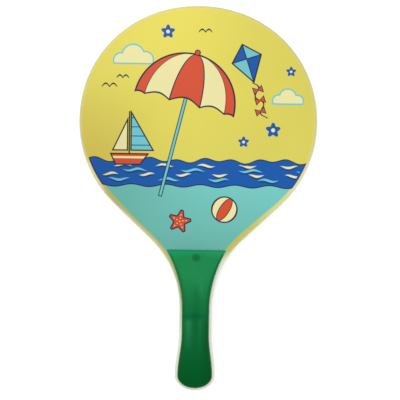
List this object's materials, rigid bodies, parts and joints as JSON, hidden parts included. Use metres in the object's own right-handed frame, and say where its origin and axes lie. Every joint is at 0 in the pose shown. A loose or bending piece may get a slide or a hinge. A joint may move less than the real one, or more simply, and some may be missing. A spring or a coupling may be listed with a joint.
{
  "type": "frescobol racket",
  "caption": "Wooden beach racket: a rounded plywood blade with a printed front, and a grip of two green plastic halves screwed together through its handle.",
  "frame": {"origin": "under the middle of the racket's box, on the surface that it lies on: the lowest point of the back grip half's crown", "axes": "+Y runs from the grip's butt to the tip of the head, +Z out of the printed face, +X across the blade"},
  "size_m": [0.2354, 0.38, 0.0231],
  "materials": {
    "printed_face": "printed and lacquered",
    "light_veneer": "satin lacquer",
    "cross_veneer": "sanded edge",
    "green_plastic": "glossy, slightly translucent",
    "zinc_steel": "zinc plated"
  },
  "bodies": {
    "root": {"front_face_veneer": "printed_face", "front_crossband": "cross_veneer", "core_veneer": "light_veneer", "back_crossband": "cross_veneer", "back_face_veneer": "light_veneer", "front_grip_scale": "green_plastic", "back_grip_scale": "green_plastic", "grip_screw_upper": "zinc_steel", "grip_screw_middle": "zinc_steel", "grip_screw_lower": "zinc_steel"}
  },
  "joints": []
}
